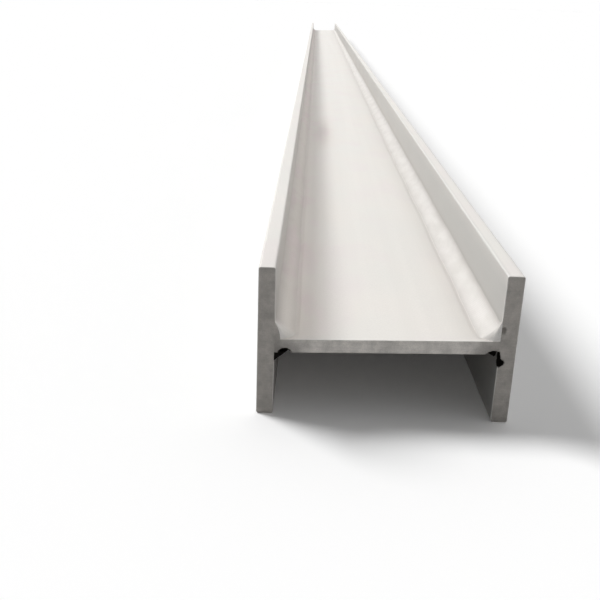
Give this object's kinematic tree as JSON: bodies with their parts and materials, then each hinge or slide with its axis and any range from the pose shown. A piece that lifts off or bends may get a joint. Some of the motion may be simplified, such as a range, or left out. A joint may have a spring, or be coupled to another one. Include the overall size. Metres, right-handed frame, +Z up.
{
  "type": "welded steel i-beam",
  "caption": "Steel I-beam welded from a web plate and flange plates, with a fillet weld run in each corner, lying on its flange edges; carries loads across a span.",
  "frame": {"origin": "under the middle of the beam, at the height of the flange edges that it lies on", "axes": "+Y along the beam, +X across the section from the left flange to the right one, +Z up, square to the flange edges that it lies on"},
  "size_m": [0.18, 6, 0.11],
  "materials": {
    "pickled_plate": "pickled stainless plate: pale, satin, faintly mottled, with darker cut ends",
    "weld_metal": "as-welded and pickled bead, pale, slightly brighter than the plate"
  },
  "bodies": {
    "root": {"web_plate": "pickled_plate", "flange_plate_left": "pickled_plate", "flange_plate_right": "pickled_plate", "weld_upper_left": "weld_metal", "weld_upper_right": "weld_metal", "weld_lower_left": "weld_metal", "weld_lower_right": "weld_metal"}
  },
  "joints": []
}
